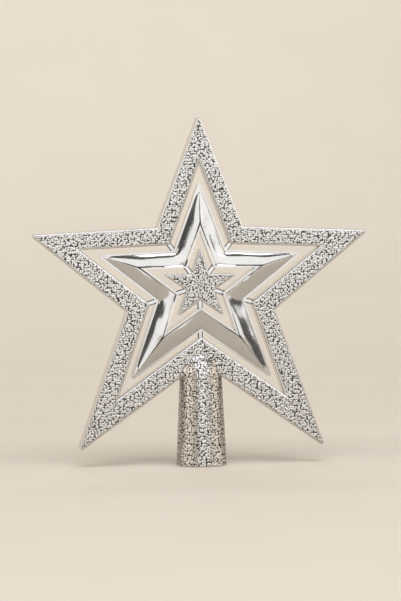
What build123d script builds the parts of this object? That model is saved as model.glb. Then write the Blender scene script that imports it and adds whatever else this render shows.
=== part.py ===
"""Silver star tree topper: three nested five-point stars, ten bars that link them and a tapered socket.

Millimetres. +Z is up, the star faces -Y, and the origin is the middle of the socket's mouth.
Each star is two half shells that meet on the star's middle plane, y = 0.
"""

import os
from math import cos, radians, tan

from build123d import *

# Outer star: from the star's middle to each sharp corner of its outline, top tip down the right side
top_tip_reach = 98.1
upper_notch_reach = 41.6
side_tip_reach = 102.2
lower_notch_reach = 45.1
lower_tip_reach = 118.7
bottom_notch_reach = 44.0
corner_angles = (90.0, 53.5, 17.3, -18.6, -52.9, -90.0)

# The nested outlines, each corner as a share of the outer star's reach there
frame_edge_shares = (1.0, 1.0, 1.0, 1.0, 1.0, 1.0)
frame_opening_shares = (0.717, 0.702, 0.706, 0.687, 0.668, 0.661)
middle_edge_shares = (0.609, 0.601, 0.603, 0.588, 0.575, 0.584)
middle_opening_shares = (0.326, 0.310, 0.325, 0.299, 0.282, 0.284)
centre_edge_shares = (0.225, 0.200, 0.216, 0.184, 0.187, 0.189)

# Heights: the socket tube up to the collar, the collar's straight part, and how far the middle of the
# collar's dome lies below the frame's bottom notch
collar_height = 45.0
collar_straight = 7.0
dome_drop = 7.2

# Half depths, from the middle plane to the front or the rear
frame_depth = 6.0
middle_edge_depth = 4.2
middle_ridge_depth = 6.2
centre_depth = 5.2

# Walls, rims and rounded corners
frame_wall = 1.6
middle_wall = 1.3
centre_wall = 1.3
frame_tip_round = 1.3
frame_corner_round = 2.3
frame_rim_round = 0.7
middle_tip_round = 1.1
centre_tip_round = 0.6
centre_rim_round = 0.4
lip_width = 0.9
lip_rise = 0.35

# Socket tube, the collar that holds it and the blend from the collar to the frame
mouth_radius = 14.4
mouth_round = 0.4
socket_taper = 2.63
socket_wall = 1.7
mouth_wall = 2.0
bore_length = 8.0
collar_wall = 1.5
spigot_length = 6.0
spigot_wall = 1.5
spigot_lead = 6.0
bead_width = 1.6
bead_rise = 0.6
blend_radius = 3.4

# Bars between the stars
bar_width = 2.8
bar_depth = 1.5
bar_bevel = 0.5
bar_head_width = 4.6
bar_head_length = 1.3

# Locating pegs, the bosses that take them and where they stand between an opening's tip and the star's tip
frame_boss_radius = 2.6
frame_peg_radius = 1.3
middle_boss_radius = 1.7
middle_peg_radius = 0.8
centre_boss_radius = 2.0
centre_peg_radius = 1.0
peg_length = 2.2
boss_place_share = 0.38

# Clearance of every fit, and how far a cutting shape runs past what it cuts
fit_clearance = 0.12
overrun = 1.0

dome_height = collar_height + collar_straight
star_height = dome_height + dome_drop + bottom_notch_reach
bore_radius = mouth_radius - mouth_wall

front_plane = Plane(origin=(0, 0, star_height), x_dir=(1, 0, 0), z_dir=(0, -1, 0))
rear_plane = Plane(origin=(0, 0, star_height), x_dir=(-1, 0, 0), z_dir=(0, 1, 0))

star_points = 5
outer_reaches = (
    top_tip_reach,
    upper_notch_reach,
    side_tip_reach,
    lower_notch_reach,
    lower_tip_reach,
    bottom_notch_reach,
)


def star_corners(shares, grow=0):
    """Corners of one outline, clockwise from the top tip, with every edge moved outwards by grow."""
    right = []
    for share, reach, angle in zip(shares, outer_reaches, corner_angles):
        right.append(Vector(share * reach, 0).rotate(Axis.Z, angle))
    left = [Vector(-corner.X, corner.Y) for corner in reversed(right[1:-1])]
    corners = right + left
    moved = []
    for before, corner, after in zip(corners[-1:] + corners, corners, corners[1:] + corners[:1]):
        edge_in = (corner - before).normalized()
        edge_out = (after - corner).normalized()
        outwards = Vector(-edge_in.Y - edge_out.Y, edge_in.X + edge_out.X)
        moved.append(corner + outwards * (grow / (1 + edge_in.dot(edge_out))))
    return moved


def star(shares, grow=0, tip_round=0, notch_round=0):
    """Face of one star outline, to be added to a sketch."""
    rounds = [tip_round, notch_round] * star_points
    with BuildSketch() as outline:
        with BuildLine():
            FilletPolyline(*star_corners(shares, grow), radius=rounds, close=True)
        make_face()
    return outline.sketch


def boss_places(edge_shares, opening_shares):
    """Places of the bosses, one in each arm between the tip of the opening and the tip of the star."""
    tips = star_corners(edge_shares)[::2]
    opening_tips = star_corners(opening_shares)[::2]
    return [near + (far - near) * boss_place_share for near, far in zip(opening_tips, tips)]


def notches(shares, grow=0):
    """The five notches of one outline, clockwise, each with the tips on either side of it."""
    corners = star_corners(shares, grow)
    tips = corners[::2]
    return zip(corners[1::2], tips, tips[1:] + tips[:1])


def bar_spans(inner_shares, inner_wall, outer_shares, outer_wall):
    """For each notch, the plane of its bar with x along the bar, and where the shank starts and ends on it."""
    spans = []
    inner_notches = notches(inner_shares, -inner_wall)
    outer_notches = notches(outer_shares, outer_wall)
    for (inner, *_), (outer, *tips) in zip(inner_notches, outer_notches):
        along = outer.normalized()
        across = Vector(-along.Y, along.X)
        leans = []
        for tip in tips:
            wall = tip - outer
            leans.append(wall.dot(along) / abs(wall.dot(across)))
        start = inner.length - fit_clearance
        end = outer.length + max(leans) * bar_head_width / 2 + fit_clearance
        lie = Plane(origin=(0, 0, star_height), x_dir=(along.X, 0, along.Y), z_dir=(0, -1, 0))
        spans.append((lie, start, end))
    return spans


def bar_slots(stars):
    """The slots that the bars between two stars need through the walls of both."""
    with BuildPart() as slots:
        for lie, start, end in bar_spans(*stars):
            with BuildSketch(lie):
                with Locations(((start + end) / 2, 0)):
                    Rectangle(end - start, bar_width + 2 * fit_clearance)
            extrude(amount=bar_depth + fit_clearance, both=True)
    return slots.part


outer_bar_stars = (middle_edge_shares, middle_wall, frame_opening_shares, frame_wall)
inner_bar_stars = (centre_edge_shares, centre_wall, middle_opening_shares, middle_wall)


# Socket and collar share one tapered outside, which ends in a dome that is tangent to it
def socket_radius(height):
    """Outside radius of the tapered socket at a height above its mouth."""
    return mouth_radius - height * tan(radians(socket_taper))


dome_radius = socket_radius(dome_height) * cos(radians(socket_taper))
cavity_radius = dome_radius - collar_wall
spigot_radius = cavity_radius - fit_clearance
bead_height = collar_height + spigot_length / 2

with BuildPart() as collar_outside:
    with BuildSketch(Plane.XZ):
        with BuildLine():
            dome = CenterArc((0, dome_height), dome_radius, socket_taper, 90 - socket_taper)
            Polyline(
                dome @ 1,
                (0, collar_height),
                (socket_radius(collar_height), collar_height),
                dome @ 0,
            )
        make_face()
    revolve(axis=Axis.Z)

with BuildPart() as collar_cavity:
    with BuildSketch(Plane.XZ):
        with BuildLine():
            ceiling = CenterArc((0, dome_height), cavity_radius, 0, 90)
            Polyline(
                ceiling @ 1,
                (0, collar_height - overrun),
                (cavity_radius, collar_height - overrun),
                (cavity_radius, bead_height - bead_width / 2),
                (cavity_radius - bead_rise, bead_height - bead_width / 2),
                (cavity_radius - bead_rise, bead_height + bead_width / 2),
                (cavity_radius, bead_height + bead_width / 2),
                ceiling @ 0,
            )
        make_face()
    revolve(axis=Axis.Z)


def blended_collar(plane):
    """Half of the domed collar on a stretch of the frame's face, with the soft blend between them."""
    stretch = mouth_radius + 2 * blend_radius
    low = collar_height - star_height
    high = dome_height + dome_radius + blend_radius - star_height
    with BuildPart() as blended:
        with BuildSketch(plane):
            with Locations((0, (low + high) / 2)):
                Rectangle(2 * stretch, high - low)
        extrude(amount=frame_depth)
        add(collar_outside.part)
        split(bisect_by=plane, keep=Keep.TOP)
        face = blended.faces().sort_by(Axis(plane.origin, plane.z_dir)).filter_by(Plane.XZ)[-1]
        fillet(face.edges().filter_by(GeomType.LINE, reverse=True), blend_radius)
        with BuildSketch(plane):
            add(star(frame_edge_shares, grow=-frame_rim_round))
            add(star(frame_opening_shares, grow=frame_rim_round), mode=Mode.SUBTRACT)
        extrude(amount=mouth_radius, mode=Mode.INTERSECT)
        add(collar_outside.part)
        split(bisect_by=plane, keep=Keep.TOP)
    return blended.part


def frame_hollow(plane):
    """The hollow behind the frame's face, which leaves its walls, the collar and the bosses standing."""
    with BuildPart() as hollow:
        with BuildSketch(plane.offset(-overrun)):
            add(star(frame_edge_shares, grow=-frame_wall))
            add(star(frame_opening_shares, grow=frame_wall), mode=Mode.SUBTRACT)
            with Locations(*boss_places(frame_edge_shares, frame_opening_shares)):
                Circle(frame_boss_radius, mode=Mode.SUBTRACT)
        extrude(amount=frame_depth - frame_wall + overrun)
        add(collar_outside.part, mode=Mode.SUBTRACT)
    return hollow.part


def frame_half(plane):
    """Half of the outer star frame: a flat face with rounded rims, and its half of the collar."""
    out = Axis(plane.origin, plane.z_dir)
    with BuildPart() as half:
        with BuildSketch(plane):
            add(star(frame_edge_shares, tip_round=frame_tip_round))
            add(star(frame_opening_shares, notch_round=frame_corner_round), mode=Mode.SUBTRACT)
        extrude(amount=frame_depth)
        fillet(half.faces().sort_by(out)[-1].edges(), frame_rim_round)
        add(blended_collar(plane))
        add(frame_hollow(plane), mode=Mode.SUBTRACT)
        add(collar_cavity.part, mode=Mode.SUBTRACT)
        add(bar_slots(outer_bar_stars), mode=Mode.SUBTRACT)
    return half.part


def middle_hollow(plane):
    """The hollow of one half of the middle star, parallel to its facets, with the bosses left standing."""
    edge_ceiling = middle_edge_depth - lip_rise - middle_wall
    ridge_ceiling = middle_ridge_depth - lip_rise - middle_wall
    with BuildPart() as hollow:
        with BuildSketch(plane.offset(-overrun)):
            add(star(middle_edge_shares, grow=-middle_wall))
        extrude(amount=edge_ceiling + overrun)
        with BuildSketch(plane.offset(edge_ceiling)) as low:
            add(star(middle_edge_shares, grow=-middle_wall))
        with BuildSketch(plane.offset(ridge_ceiling)) as high:
            add(star(middle_opening_shares, grow=middle_wall))
        loft([low.sketch, high.sketch], ruled=True)
        with BuildSketch(plane.offset(-overrun)):
            add(star(middle_opening_shares, grow=middle_wall))
            with Locations(*boss_places(middle_edge_shares, middle_opening_shares)):
                Circle(middle_boss_radius)
        extrude(amount=middle_ridge_depth + overrun, mode=Mode.SUBTRACT)
    return hollow.part


def middle_half(plane):
    """Half of the middle star: ten sloping facets that rise from the outer lip to the inner lip."""
    edge_foot = middle_edge_depth - lip_rise
    ridge_foot = middle_ridge_depth - lip_rise
    with BuildPart() as half:
        with BuildSketch(plane):
            add(star(middle_edge_shares, tip_round=middle_tip_round))
        extrude(amount=edge_foot)
        with BuildSketch(plane.offset(edge_foot)) as low:
            add(star(middle_edge_shares, grow=-lip_width))
        with BuildSketch(plane.offset(ridge_foot)) as high:
            add(star(middle_opening_shares, grow=lip_width))
        loft([low.sketch, high.sketch], ruled=True)
        with BuildSketch(plane.offset(edge_foot)):
            add(star(middle_edge_shares, tip_round=middle_tip_round))
            add(star(middle_edge_shares, grow=-lip_width), mode=Mode.SUBTRACT)
        extrude(amount=lip_rise)
        with BuildSketch(plane.offset(ridge_foot)):
            add(star(middle_opening_shares, grow=lip_width))
        extrude(amount=lip_rise)
        with BuildSketch(plane):
            add(star(middle_opening_shares))
        extrude(amount=middle_ridge_depth, mode=Mode.SUBTRACT)
        add(middle_hollow(plane), mode=Mode.SUBTRACT)
        add(bar_slots(outer_bar_stars), mode=Mode.SUBTRACT)
        add(bar_slots(inner_bar_stars), mode=Mode.SUBTRACT)
    return half.part


def centre_half(plane):
    """Half of the small centre star: a flat face with rounded rims and one boss in its middle."""
    out = Axis(plane.origin, plane.z_dir)
    with BuildPart() as half:
        with BuildSketch(plane):
            add(star(centre_edge_shares, tip_round=centre_tip_round))
        extrude(amount=centre_depth)
        fillet(half.faces().sort_by(out)[-1].edges(), centre_rim_round)
        with BuildSketch(plane.offset(-overrun)):
            add(star(centre_edge_shares, grow=-centre_wall))
            Circle(centre_boss_radius, mode=Mode.SUBTRACT)
        extrude(amount=centre_depth - centre_wall + overrun, mode=Mode.SUBTRACT)
        add(bar_slots(inner_bar_stars), mode=Mode.SUBTRACT)
    return half.part


def peg_holes(plane, places, peg_radius):
    """Blind holes in the bosses of a front half."""
    with BuildPart() as holes:
        with BuildSketch(plane.offset(-overrun)):
            with Locations(*places):
                Circle(peg_radius + fit_clearance)
        extrude(amount=peg_length + fit_clearance + overrun)
    return holes.part


def pegs(plane, places, peg_radius):
    """Pegs that stand out of the bosses of a rear half."""
    with BuildPart() as standing:
        with BuildSketch(plane):
            with Locations(*places):
                Circle(peg_radius)
        extrude(amount=-peg_length)
    return standing.part


os.makedirs("parts", exist_ok=True)

# Outer frame: two grained half shells that clamp the socket tube's spigot in their collar
frame_bosses = boss_places(frame_edge_shares, frame_opening_shares)
with BuildPart() as frame_front_shell:
    add(frame_half(front_plane))
    add(peg_holes(front_plane, frame_bosses, frame_peg_radius), mode=Mode.SUBTRACT)
frame_front_shell.part.label = "frame_front_shell"
export_step(frame_front_shell.part, "parts/frame_front_shell.step")

with BuildPart() as frame_rear_shell:
    add(frame_half(rear_plane))
    add(pegs(rear_plane, frame_bosses, frame_peg_radius))
frame_rear_shell.part.label = "frame_rear_shell"
export_step(frame_rear_shell.part, "parts/frame_rear_shell.step")

# Socket tube: a straight bore at its mouth, then a taper that thickens into the grooved spigot
groove_radius = cavity_radius - bead_rise - fit_clearance
groove_low = bead_height - bead_width / 2 - fit_clearance
groove_high = bead_height + bead_width / 2 + fit_clearance
spigot_top = collar_height + spigot_length
lead_height = collar_height - spigot_lead
with BuildPart() as socket_tube:
    with BuildSketch(Plane.XZ):
        Polygon(
            (bore_radius, 0),
            (mouth_radius, 0),
            (socket_radius(collar_height), collar_height),
            (spigot_radius, collar_height),
            (spigot_radius, groove_low),
            (groove_radius, groove_low),
            (groove_radius, groove_high),
            (spigot_radius, groove_high),
            (spigot_radius, spigot_top),
            (spigot_radius - spigot_wall, spigot_top),
            (spigot_radius - spigot_wall, collar_height),
            (socket_radius(lead_height) - socket_wall, lead_height),
            (bore_radius, bore_length),
            align=None,
        )
    revolve(axis=Axis.Z)
    rings = socket_tube.edges().filter_by(GeomType.CIRCLE)
    fillet(rings.group_by(Axis.Z)[0].sort_by(SortBy.RADIUS)[-1], mouth_round)
socket_tube.part.label = "socket_tube"
export_step(socket_tube.part, "parts/socket_tube.step")

# Middle star: the mirror bright ring
middle_bosses = boss_places(middle_edge_shares, middle_opening_shares)
with BuildPart() as middle_star_front:
    add(middle_half(front_plane))
    add(peg_holes(front_plane, middle_bosses, middle_peg_radius), mode=Mode.SUBTRACT)
middle_star_front.part.label = "middle_star_front"
export_step(middle_star_front.part, "parts/middle_star_front.step")

with BuildPart() as middle_star_rear:
    add(middle_half(rear_plane))
    add(pegs(rear_plane, middle_bosses, middle_peg_radius))
middle_star_rear.part.label = "middle_star_rear"
export_step(middle_star_rear.part, "parts/middle_star_rear.step")

# Centre star: the small grained star, on one peg in its middle
centre_boss = [(0, 0)]
with BuildPart() as centre_star_front:
    add(centre_half(front_plane))
    add(peg_holes(front_plane, centre_boss, centre_peg_radius), mode=Mode.SUBTRACT)
centre_star_front.part.label = "centre_star_front"
export_step(centre_star_front.part, "parts/centre_star_front.step")

with BuildPart() as centre_star_rear:
    add(centre_half(rear_plane))
    add(pegs(rear_plane, centre_boss, centre_peg_radius))
centre_star_rear.part.label = "centre_star_rear"
export_step(centre_star_rear.part, "parts/centre_star_rear.step")

# Bars: one in every notch, clockwise from the upper right, with a head behind the wall at each end
bar_places = ("upper_right", "lower_right", "bottom", "lower_left", "upper_left")
for ring, stars in (("outer", outer_bar_stars), ("inner", inner_bar_stars)):
    for place, (lie, start, end) in zip(bar_places, bar_spans(*stars)):
        with BuildPart() as bar:
            with BuildSketch(lie):
                with Locations(((start + end) / 2, 0)):
                    Rectangle(end - start, bar_width)
                with Locations((start - bar_head_length / 2, 0), (end + bar_head_length / 2, 0)):
                    Rectangle(bar_head_length, bar_head_width)
            extrude(amount=bar_depth, both=True)
            lengthways = bar.edges().filter_by(Axis(lie.origin, lie.x_dir))
            chamfer(lengthways.sort_by(SortBy.LENGTH)[-4:], bar_bevel)
        bar.part.label = f"{ring}_bar_{place}"
        export_step(bar.part, f"parts/{bar.part.label}.step")
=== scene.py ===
import math

import bmesh
import bpy
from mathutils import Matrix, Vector, kdtree


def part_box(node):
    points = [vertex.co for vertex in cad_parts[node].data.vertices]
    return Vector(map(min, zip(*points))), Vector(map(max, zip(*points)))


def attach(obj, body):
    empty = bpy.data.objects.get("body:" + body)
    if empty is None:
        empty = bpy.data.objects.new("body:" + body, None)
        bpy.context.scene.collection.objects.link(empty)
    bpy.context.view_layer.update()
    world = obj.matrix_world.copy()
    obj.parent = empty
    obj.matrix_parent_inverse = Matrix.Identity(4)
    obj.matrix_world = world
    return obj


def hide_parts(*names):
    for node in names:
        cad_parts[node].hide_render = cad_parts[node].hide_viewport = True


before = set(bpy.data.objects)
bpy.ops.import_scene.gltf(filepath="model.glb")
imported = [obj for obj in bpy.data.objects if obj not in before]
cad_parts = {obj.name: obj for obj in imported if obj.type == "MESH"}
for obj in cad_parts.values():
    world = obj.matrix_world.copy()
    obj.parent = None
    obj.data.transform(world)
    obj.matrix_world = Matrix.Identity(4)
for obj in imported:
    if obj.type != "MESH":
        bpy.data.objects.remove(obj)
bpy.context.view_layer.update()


# Socket tube: the tapered sleeve that carries the star and slips over whatever upright it is set on. One
# plastic moulding with a pebbled outside, metallised silver after moulding. Its spigot is held between the
# two halves of the frame's collar.
tube_pebble = 0.0013
tube_relief = 0.00034
tube_seed = 2.729
wrap_radius = 0.0128
joint_height = 0.045
joint_radius = 0.01233
face_depth = 0.006
grain_edge = 0.0006
cut_rounds = 10
softening_share = 0.5
rim_fade = 0.0007
soft_crease = 28
outward = 0.9
cone_slack = 0.0003
flat_slack = 2e-5
touch = 1e-5
merge_gap = 1e-6

drift_scale = 0.8
drift_reach = 0.7
pebble_scatter = 0.75
dome_share = 0.8
swell_scale = 0.5
swell_share = 0.3
level_height = 0.6
seam_start = 0.50
seam_full = 0.62
seed_steps = (1.7, 2.3)

silver_light = (0.60, 0.592, 0.58, 1)
# Painted shade in the seams between pebbles: its near-black colour, and how far it is mixed in.
painted_shade_colour = (0.035, 0.034, 0.032, 1)
painted_seam_shade = 0.95
silver_haze_scale = 90.0
silver_roughness = 0.12
silver_haze_roughness = 0.10
seam_roughness = 0.15
pebble_bump = 0.5
pebble_bump_height = 0.0003


class Wire:
    """One output in a node tree. Sums and products of wires become Math nodes."""

    def __init__(self, graph, socket):
        self.graph = graph
        self.socket = socket

    def maths(self, operation, first, second):
        return self.graph.add("ShaderNodeMath", {"operation": operation}, {0: first, 1: second})

    def __add__(self, other):
        return self.maths("ADD", self, other)

    def __radd__(self, other):
        return self.maths("ADD", other, self)

    def __sub__(self, other):
        return self.maths("SUBTRACT", self, other)

    def __rsub__(self, other):
        return self.maths("SUBTRACT", other, self)

    def __mul__(self, other):
        return self.maths("MULTIPLY", self, other)

    def __rmul__(self, other):
        return self.maths("MULTIPLY", other, self)

    def __truediv__(self, other):
        return self.maths("DIVIDE", self, other)

    def __rtruediv__(self, other):
        return self.maths("DIVIDE", other, self)


class Graph:
    """A node tree in the making. add() puts in one node and gives back one of its outputs."""

    def __init__(self, tree):
        tree.nodes.clear()
        self.tree = tree

    def add(self, kind, settings=None, sockets=None, out=0):
        node = self.tree.nodes.new(kind)
        for name, value in (settings or {}).items():
            setattr(node, name, value)
        for name, value in (sockets or {}).items():
            if isinstance(value, Wire):
                self.tree.links.new(value.socket, node.inputs[name])
            else:
                node.inputs[name].default_value = value
        return Wire(self, node.outputs[out]) if node.outputs else None


def blank_material(name):
    """A new material and its empty node tree."""
    material = bpy.data.materials.new(name)
    material.use_nodes = True
    return material, Graph(material.node_tree)


def colour_between(graph, share, first, second):
    return graph.add("ShaderNodeMix", {"data_type": "RGBA"}, {0: share, 6: first, 7: second}, out=2)


def scaled(graph, vector, factor):
    return graph.add("ShaderNodeVectorMath", {"operation": "SCALE"}, {0: vector, "Scale": factor})


def shifted(graph, vector, step):
    return graph.add("ShaderNodeVectorMath", {"operation": "ADD"}, {0: vector, 1: step})


def noise(graph, place, scale, detail):
    return graph.add("ShaderNodeTexNoise", sockets={"Vector": place, "Scale": scale, "Detail": detail})


def pebble_rule(graph, spot):
    """Height of the pebbles and a mask of the seams between them, where the silver gets painted shade, at a
    place counted in pebbles.
    """
    drift = graph.add("ShaderNodeTexNoise",
                      sockets={"Vector": spot, "Scale": drift_scale, "Detail": 1.0}, out="Color")
    spot = shifted(graph, spot, scaled(graph, drift, drift_reach))
    reach = graph.add("ShaderNodeTexVoronoi", {"feature": "F1"},
                      {"Vector": spot, "Scale": 1.0, "Randomness": pebble_scatter})
    swell = noise(graph, spot, swell_scale, 1.0)
    height = (1.0 - reach * reach) * dome_share + swell * swell_share
    seam = graph.add("ShaderNodeMapRange", {"interpolation_type": "SMOOTHSTEP"}, {
        "Value": reach, "From Min": seam_start, "From Max": seam_full, "To Min": 0.0, "To Max": 1.0})
    return height, seam


def grained_silver():
    """Metallised plastic: bright pebbles, painted shade in the seams between them, and smooth walls and
    rims.
    """
    material, graph = blank_material("grained_silver")
    place = graph.add("ShaderNodeTexCoord", out="Object")
    spot = graph.add("ShaderNodeAttribute", {"attribute_name": "pebble_place"}, out="Vector")
    grain = graph.add("ShaderNodeAttribute", {"attribute_name": "grain"}, out="Fac")
    height, seam = pebble_rule(graph, spot)
    haze = noise(graph, place, silver_haze_scale, 3.0)
    # The seams are darkened towards a near-black colour: painted shade for the crevices between the
    # pebbles.
    colour = colour_between(graph, seam * grain * painted_seam_shade, silver_light, painted_shade_colour)
    roughness = silver_roughness + haze * silver_haze_roughness + seam * grain * seam_roughness
    bump = graph.add("ShaderNodeBump", sockets={
        "Strength": pebble_bump, "Distance": pebble_bump_height, "Height": height * grain})
    shader = graph.add("ShaderNodeBsdfPrincipled", sockets={
        "Base Color": colour, "Metallic": 1.0, "Roughness": roughness, "Normal": bump})
    graph.add("ShaderNodeOutputMaterial", sockets={"Surface": shader})
    return material


def skin_tree(name, sizes):
    """Node tree that takes a skin, some sizes and a finish, and the wires of these in that order."""
    tree = bpy.data.node_groups.new(name, "GeometryNodeTree")
    tree.interface.new_socket("Skin", in_out="INPUT", socket_type="NodeSocketGeometry")
    for size in sizes:
        tree.interface.new_socket(size, in_out="INPUT", socket_type="NodeSocketFloat")
    tree.interface.new_socket("Finish", in_out="INPUT", socket_type="NodeSocketMaterial")
    tree.interface.new_socket("Skin", in_out="OUTPUT", socket_type="NodeSocketGeometry")
    graph = Graph(tree)
    given = tree.nodes.new("NodeGroupInput")
    return graph, [Wire(graph, given.outputs[i]) for i in range(len(sizes) + 2)]


def pattern_place(graph, place, size, seed):
    """A place counted in pattern sizes, from a start that the seed picks."""
    across, up = seed_steps
    start = graph.add("ShaderNodeCombineXYZ", sockets={0: seed, 1: seed * across, 2: seed * up})
    return shifted(graph, scaled(graph, place, 1.0 / size), start)


def raise_skin(graph, skin, height, finish):
    """Lifts the skin along its normals, gives it its finish and ends the tree."""
    lift = scaled(graph, graph.add("GeometryNodeInputNormal"), height)
    moved = graph.add("GeometryNodeSetPosition", sockets={"Geometry": skin, "Offset": lift})
    plain = graph.add("GeometryNodeRealizeInstances", sockets={"Geometry": moved})
    dressed = graph.add("GeometryNodeSetMaterial", sockets={"Geometry": plain, "Material": finish})
    graph.add("NodeGroupOutput", sockets={"Skin": dressed})


def pebble_grain():
    """Raises rounded pebbles where the mesh is grained, laid out flat or wrapped round the tube's axis."""
    graph, wires = skin_tree("pebble_grain", ("Pebble Size", "Relief", "Flat Depth", "Seed"))
    skin, size, relief, depth, seed, finish = wires
    place = graph.add("GeometryNodeInputPosition")
    x, y, z = (graph.add("ShaderNodeSeparateXYZ", sockets={0: place}, out=i) for i in range(3))
    out = y.maths("ABSOLUTE", y, 0.0)
    arc = x.maths("ARCTAN2", x, out) * wrap_radius
    wrapped = graph.add("ShaderNodeCombineXYZ", sockets={0: arc, 1: 0.0 - depth, 2: z})
    flat = graph.add("ShaderNodeMath", {"operation": "COMPARE"}, {0: out, 1: depth, 2: flat_slack})
    place = graph.add("ShaderNodeMix", {"data_type": "VECTOR"}, {0: flat, 4: wrapped, 5: place}, out=1)
    spot = pattern_place(graph, place, size, seed)
    height, _ = pebble_rule(graph, spot)
    grain = graph.add("GeometryNodeInputNamedAttribute", {"data_type": "FLOAT"}, {"Name": "grain"})
    kept = graph.add("GeometryNodeStoreNamedAttribute", {"data_type": "FLOAT_VECTOR", "domain": "POINT"},
                     {"Geometry": skin, "Name": "pebble_place", "Value": spot})
    raise_skin(graph, kept, (height - level_height) * relief * grain, finish)
    return graph.tree


def cut_finely(skin, mark, longest):
    """Halves the edges of the marked faces until none is longer than asked."""
    for _ in range(cut_rounds):
        cut = [edge for edge in skin.edges
               if edge.calc_length() > longest and any(face[mark] for face in edge.link_faces)]
        if not cut:
            break
        bmesh.ops.subdivide_edges(skin, edges=cut, cuts=1)
        bmesh.ops.triangulate(skin, faces=[face for face in skin.faces if len(face.verts) > 3])


def near_points(points):
    """Finder of the nearest of some points."""
    finder = kdtree.KDTree(len(points))
    for index, point in enumerate(points):
        finder.insert(point, index)
    finder.balance()
    return finder


def nowhere(spot):
    return False


def fine_copy(name, solid, textured, longest, crease, fade, unfaded=nowhere, softenings=0):
    """Copy of a solid's skin, its textured faces cut finely and the mitres between them softened if asked.

    The attribute grain holds how far each point may be raised: not at all off those faces or on their rims,
    and fully at the fade's length from a rim. Rims that are unfaded don't count.
    """
    skin = bmesh.new()
    skin.from_mesh(solid)
    bmesh.ops.remove_doubles(skin, verts=skin.verts, dist=merge_gap)
    mark = skin.faces.layers.int.new("textured")
    for face in skin.faces:
        face.smooth = True
        face[mark] = textured(face.calc_center_median(), face.normal)
    for edge in skin.edges:
        soft = softenings > 0 and all(face[mark] for face in edge.link_faces)
        edge.smooth = soft or edge.calc_face_angle(0) < math.radians(crease)
    cut_finely(skin, mark, longest)
    inner = [vert for vert in skin.verts if all(face[mark] for face in vert.link_faces)]
    for _ in range(softenings):
        bmesh.ops.smooth_vert(skin, verts=inner, factor=softening_share,
                              use_axis_x=True, use_axis_y=True, use_axis_z=True)
    rim = [vert.co.copy() for vert in skin.verts
           if {bool(face[mark]) for face in vert.link_faces} == {True, False} and not unfaded(vert.co)]
    nearest = near_points(rim)
    raised = []
    for vert in skin.verts:
        marks = [face[mark] for face in vert.link_faces]
        whole = all(marks) or (any(marks) and unfaded(vert.co))
        raised.append(min(1.0, nearest.find(vert.co)[2] / fade) if whole else 0.0)
    mesh = bpy.data.meshes.new(name + "_skin")
    skin.to_mesh(mesh)
    skin.free()
    mesh.attributes.new("grain", "FLOAT", "POINT").data.foreach_set("value", raised)
    piece = bpy.data.objects.new(name + "_skin", mesh)
    bpy.context.scene.collection.objects.link(piece)
    return piece


def shaped(piece, tree, values):
    """Runs a node tree on a piece and leaves it as a plain mesh."""
    step = piece.modifiers.new("shape", "NODES")
    step.node_group = tree
    for item in tree.interface.items_tree:
        if item.in_out == "INPUT" and item.name in values:
            step[item.identifier] = values[item.name]
    seen = piece.evaluated_get(bpy.context.evaluated_depsgraph_get())
    mesh = bpy.data.meshes.new_from_object(seen)
    piece.modifiers.remove(step)
    piece.data = mesh


def stands_for(piece, name):
    """Puts a finished piece in the place of the solid of that name."""
    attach(piece, "root")
    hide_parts(name)


mouth_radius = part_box("socket_tube")[1].x
tube_slope = (mouth_radius - joint_radius) / joint_height


def on_cone(spot, normal):
    """Whether a face lies on the tapered outside that the tube and the collar share."""
    away = math.hypot(spot.x, spot.y)
    return (abs(away - (mouth_radius - spot.z * tube_slope)) < cone_slack
            and normal.x * spot.x + normal.y * spot.y > outward * away)


def at_joint(spot):
    return spot.z > joint_height - touch


def tube_outside(spot, normal):
    return on_cone(spot, normal) and spot.z < joint_height - touch


silver = grained_silver()
pebbles = pebble_grain()
tube = fine_copy("socket_tube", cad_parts["socket_tube"].data, tube_outside,
                 grain_edge, soft_crease, rim_fade, at_joint)
shaped(tube, pebbles, {"Pebble Size": tube_pebble, "Relief": tube_relief, "Flat Depth": face_depth,
                       "Seed": tube_seed, "Finish": silver})
stands_for(tube, "socket_tube")


# Frame shells: the two halves of the outer star, which meet on the star's middle plane and clamp the tube
# in their domed collar. Same metallised moulding, pebbled on its faces, with smooth rounded rims and side
# walls.
frame_pebble = 0.0012
frame_relief = 0.00037
frame_seed = 2.956
collar_reach = 0.014
square_on = 0.999


def shell_outside(side):
    """Rule that picks a shell's pebbled faces: its flat face, its domed collar and the cone under that."""
    def picked(spot, normal):
        out = side * spot.y
        flat = abs(out - face_depth) < flat_slack and side * normal.y > square_on
        return flat or out > face_depth + touch or (on_cone(spot, normal) and at_joint(spot))
    return picked


def on_collar_seam(spot):
    """Whether a point is where the collar meets the tube or the other shell, and the grain runs on."""
    by_tube = spot.z < joint_height + touch and math.hypot(spot.x, spot.y) < collar_reach
    by_shell = abs(spot.y) < touch and abs(spot.x) < collar_reach
    return by_tube or by_shell


for name, side in (("frame_front_shell", -1), ("frame_rear_shell", 1)):
    shell = fine_copy(name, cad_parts[name].data, shell_outside(side),
                      grain_edge, soft_crease, rim_fade, on_collar_seam)
    shaped(shell, pebbles, {"Pebble Size": frame_pebble, "Relief": frame_relief, "Flat Depth": face_depth,
                            "Seed": frame_seed, "Finish": silver})
    stands_for(shell, name)


# Outer bars: five short bevelled links from the frame's opening to the notches of the middle star. Bright
# metallised plastic, each trapped behind the walls of the two stars by the heads at its ends.
mirror_light = (0.60, 0.594, 0.585, 1)
mirror_warm = (0.48, 0.47, 0.456, 1)
mirror_haze_scale = 60.0
mirror_roughness = 0.07
mirror_haze_roughness = 0.09
ripple_scale = 240.0
ripple_bump = 0.08
ripple_height = 0.0002
bar_places = ("upper_right", "lower_right", "bottom", "lower_left", "upper_left")


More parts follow.
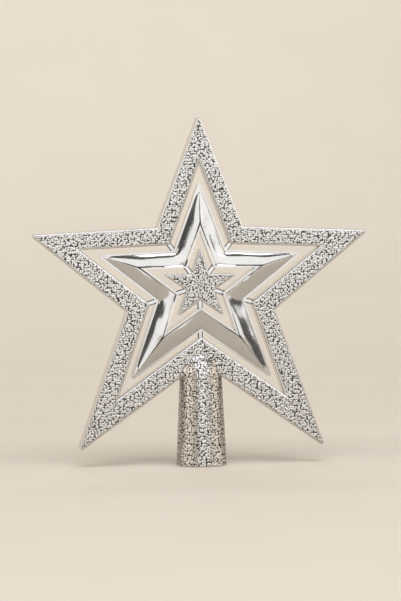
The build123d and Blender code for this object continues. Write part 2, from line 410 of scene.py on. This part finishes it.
def mirror_silver():
    """Metallised gloss plastic: nearly a mirror, with a faint haze and a trace of moulding ripple."""
    material, graph = blank_material("mirror_silver")
    place = graph.add("ShaderNodeTexCoord", out="Object")
    haze = noise(graph, place, mirror_haze_scale, 4.0)
    ripple = noise(graph, place, ripple_scale, 1.0)
    colour = colour_between(graph, haze, mirror_light, mirror_warm)
    roughness = mirror_roughness + haze * mirror_haze_roughness
    bump = graph.add("ShaderNodeBump", sockets={
        "Strength": ripple_bump, "Distance": ripple_height, "Height": ripple})
    shader = graph.add("ShaderNodeBsdfPrincipled", sockets={
        "Base Color": colour, "Metallic": 1.0, "Roughness": roughness, "Normal": bump})
    graph.add("ShaderNodeOutputMaterial", sockets={"Surface": shader})
    return material


def brighten_bars(kind):
    """Gives the five bars of a kind their mirror finish."""
    for place in bar_places:
        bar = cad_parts[kind + "_" + place]
        bar.data.materials.clear()
        bar.data.materials.append(mirror)


mirror = mirror_silver()
brighten_bars("outer_bar")


# Middle star: the mirror bright ring of ten sloping facets between two raised lips. Thin gloss moulding in
# two halves. Its facets swell softly between the lips and meet in rounded mitres, so that reflections bend
# and fade along them.
lip_width = 0.0009
lip_rise = 0.00035
lip_flank = 0.0001
lip_depth = 0.0042
ridge_depth = 0.0062
foot_slack = 0.0001
facet_foot = lip_depth - lip_rise - foot_slack
facet_slope_limit = 0.9995
facet_edge = 0.001
facet_crease = 8
facet_softenings = 160
facet_fade = 0.0032
star_middle = (0, 0, 0.1032)
notch_reach = 0.030
tip_reach = 0.058
notch_swell = 0.9
tip_swell = 0.3
wave_size = 0.02
wave_height = 0.00034
wave_gain = 4.0
wave_roughness = 0.3
wave_seed = 5.0


def narrow_lip(name, side):
    """Mesh of a half whose outer lip is a narrow bead, with the facets running down to the bead's foot."""
    skin = bmesh.new()
    skin.from_mesh(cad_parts[name].data)
    bmesh.ops.remove_doubles(skin, verts=skin.verts, dist=merge_gap)
    front = [face for face in skin.faces if side * face.normal.y > outward
             and side * face.calc_center_median().y < ridge_depth - lip_rise]
    bead = bmesh.ops.inset_region(skin, faces=front, thickness=lip_width, use_even_offset=True)["faces"]
    flank = bmesh.ops.inset_region(skin, faces=front, thickness=lip_flank, use_even_offset=True)["faces"]
    bead_points = {vert for face in bead for vert in face.verts}
    flank_points = {vert for face in flank for vert in face.verts}
    for vert in flank_points - bead_points:
        if abs(side * vert.co.y - lip_depth) < touch:
            vert.co.y -= side * lip_rise
    mesh = bpy.data.meshes.new(name + "_lipped")
    skin.to_mesh(mesh)
    skin.free()
    return mesh


def full_facets():
    """Swells the facets a little between their lips, unevenly, and more by the notches than at the tips."""
    graph, wires = skin_tree("full_facets", ("Wave Size", "Wave Height", "Seed"))
    skin, size, height, seed, finish = wires
    place = graph.add("GeometryNodeInputPosition")
    spot = pattern_place(graph, place, size, seed)
    wave = graph.add("ShaderNodeTexNoise", sockets={
        "Vector": spot, "Scale": 1.0, "Detail": 1.0, "Roughness": wave_roughness})
    grain = graph.add("GeometryNodeInputNamedAttribute", {"data_type": "FLOAT"}, {"Name": "grain"})
    away = graph.add("ShaderNodeVectorMath", {"operation": "DISTANCE"}, {0: place, 1: star_middle},
                     out="Value")
    share = graph.add("ShaderNodeMapRange", {"interpolation_type": "SMOOTHSTEP"}, {
        "Value": away, "From Min": notch_reach, "From Max": tip_reach,
        "To Min": notch_swell, "To Max": tip_swell})
    raise_skin(graph, skin, (wave * wave_gain - 1.0) * share * height * grain * (2.0 - grain), finish)
    return graph.tree


def facets(side):
    """Rule that picks a half's sloping facets."""
    def picked(spot, normal):
        return outward < side * normal.y < facet_slope_limit and side * spot.y > facet_foot
    return picked


waves = full_facets()
for name, side in (("middle_star_front", -1), ("middle_star_rear", 1)):
    half = fine_copy(name, narrow_lip(name, side), facets(side),
                     facet_edge, facet_crease, facet_fade, softenings=facet_softenings)
    shaped(half, waves, {"Wave Size": wave_size, "Wave Height": wave_height, "Seed": wave_seed,
                         "Finish": mirror})
    stands_for(half, name)


# Inner bars: five shorter links of the same bright moulding, from the middle star's opening to the notches
# of the centre star, held by their heads as the outer ones are.
brighten_bars("inner_bar")


# Centre star: the small flat star, pebbled more finely than the frame, with a narrow smooth rim. Two
# metallised halves on one peg.
centre_pebble = 0.00105
centre_relief = 0.00035
centre_seed = 7.634
centre_depth = 0.0052
centre_edge = 0.0004


def centre_face(side):
    """Rule that picks the flat face of a half."""
    def picked(spot, normal):
        return side * normal.y > square_on and side * spot.y > centre_depth - flat_slack
    return picked


for name, side in (("centre_star_front", -1), ("centre_star_rear", 1)):
    half = fine_copy(name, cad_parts[name].data, centre_face(side), centre_edge, soft_crease, rim_fade)
    shaped(half, pebbles, {"Pebble Size": centre_pebble, "Relief": centre_relief,
                           "Flat Depth": centre_depth, "Seed": centre_seed, "Finish": silver})
    stands_for(half, name)


# Table and backdrop: one pale sweep of matt, warm white board. The star stands on it, and it curves up far
# behind.
sweep_width = 7.0
sweep_front = -1.0
sweep_back = 2.6
sweep_bend = 0.8
sweep_top = 2.6
bend_steps = 12
table_light = (0.78, 0.725, 0.65, 1)
table_deep = (0.74, 0.68, 0.60, 1)
mottle_scale = 9.0
table_roughness = 0.75
table_shine = 0.2


def sweep_line():
    """The sweep seen from its end, as places in depth and height."""
    bend_start = sweep_back - sweep_bend
    line = [(sweep_front, 0.0), (bend_start, 0.0)]
    for step in range(1, bend_steps + 1):
        turn = math.pi / 2 * step / bend_steps
        line.append((bend_start + sweep_bend * math.sin(turn), sweep_bend - sweep_bend * math.cos(turn)))
    line.append((sweep_back, sweep_top))
    return line


def pale_board():
    material, graph = blank_material("pale_sweep")
    place = graph.add("ShaderNodeTexCoord", out="Object")
    colour = colour_between(graph, noise(graph, place, mottle_scale, 5.0), table_light, table_deep)
    shader = graph.add("ShaderNodeBsdfPrincipled", sockets={
        "Base Color": colour, "Roughness": table_roughness, "Specular IOR Level": table_shine})
    graph.add("ShaderNodeOutputMaterial", sockets={"Surface": shader})
    return material


line = sweep_line()
points = [(x, y, z) for y, z in line for x in (-sweep_width / 2, sweep_width / 2)]
faces = [(2 * i, 2 * i + 1, 2 * i + 3, 2 * i + 2) for i in range(len(line) - 1)]
sweep_mesh = bpy.data.meshes.new("sweep")
sweep_mesh.from_pydata(points, [], faces)
sweep_mesh.shade_smooth()
sweep_mesh.materials.append(pale_board())
sweep = bpy.data.objects.new("sweep", sweep_mesh)
bpy.context.scene.collection.objects.link(sweep)


# Studio light: a soft panel in front and one to its right, two large warm fills at the sides, a panel
# overhead and a wash on the backdrop, in a dim grey room.
star_heart = Vector((0, 0, 0.1))
white = (1, 1, 1)
fill_tint = (1, 0.88, 0.74)
wash_place = (0, 1.5, 1.7)
wash_tilt = 25
room_grey = (0.12, 0.117, 0.113, 1)


def way_from_star(azimuth, elevation):
    """Direction from the star, turned from its front towards its right and then raised."""
    turn = math.radians(azimuth)
    rise = math.radians(elevation)
    return Vector((math.sin(turn) * math.cos(rise), -math.cos(turn) * math.cos(rise), math.sin(rise)))


def lamp_panel(name, place, rotation, width, height, watts, tint):
    lamp = bpy.data.lights.new(name, "AREA")
    lamp.shape = "RECTANGLE"
    lamp.size = width
    lamp.size_y = height
    lamp.energy = watts
    lamp.color = tint
    panel = bpy.data.objects.new(name, lamp)
    panel.location = place
    panel.rotation_euler = rotation
    bpy.context.scene.collection.objects.link(panel)


def soft_panel(name, azimuth, elevation, distance, width, height, watts, tint=white):
    """A panel that faces the star, placed by its direction and distance from there."""
    way = way_from_star(azimuth, elevation)
    lamp_panel(name, star_heart + way * distance, way.to_track_quat("Z", "Y").to_euler(),
               width, height, watts, tint)


soft_panel("front_panel", azimuth=1, elevation=12.3, distance=2.4, width=1.95, height=1.54, watts=13.8)
soft_panel("right_panel", azimuth=35, elevation=18, distance=2.4, width=1.1, height=1.0, watts=5.4)
soft_panel("left_fill", azimuth=-77, elevation=20, distance=2.2, width=2.7, height=2.1, watts=27,
           tint=fill_tint)
soft_panel("right_fill", azimuth=80, elevation=20, distance=2.2, width=2.5, height=2.1, watts=24,
           tint=fill_tint)
soft_panel("top_panel", azimuth=0, elevation=61, distance=1.9, width=1.8, height=1.2, watts=20)
lamp_panel("backdrop_wash", wash_place, (math.radians(wash_tilt), 0, 0), width=3.0, height=0.8, watts=19,
           tint=white)

room = bpy.data.worlds.new("studio_room")
room.use_nodes = True
graph = Graph(room.node_tree)
grey = graph.add("ShaderNodeBackground", sockets={"Color": room_grey, "Strength": 1.0})
graph.add("ShaderNodeOutputWorld", sockets={"Surface": grey})
bpy.context.scene.world = room


# Camera: a long lens a little to the star's left and just above its middle, aimed slightly below it and
# rolled by less than a degree.
view_azimuth = -7.0
view_elevation = 3.12
view_roll = 0.66
view_distance = 1.8
aim_across = 0.00044
aim_down = 0.00554
focal_pixels = 3146.0
long_side_pixels = 601.0
film_width = 36.0

way = way_from_star(view_azimuth, view_elevation)
lens = bpy.data.cameras.new("photo_lens")
lens.sensor_width = film_width
lens.lens = focal_pixels * film_width / long_side_pixels
camera = bpy.data.objects.new("photo_camera", lens)
camera.location = star_heart + way * view_distance
across = Vector((math.cos(math.radians(view_azimuth)), math.sin(math.radians(view_azimuth)), 0))
target = star_heart + across * aim_across - way.cross(across) * aim_down
camera.rotation_euler = (camera.location - target).to_track_quat("Z", "Y").to_euler()
camera.rotation_euler.rotate_axis("Z", -math.radians(view_roll))
bpy.context.scene.collection.objects.link(camera)
bpy.context.scene.camera = camera
bpy.context.scene.view_settings.view_transform = "Standard"
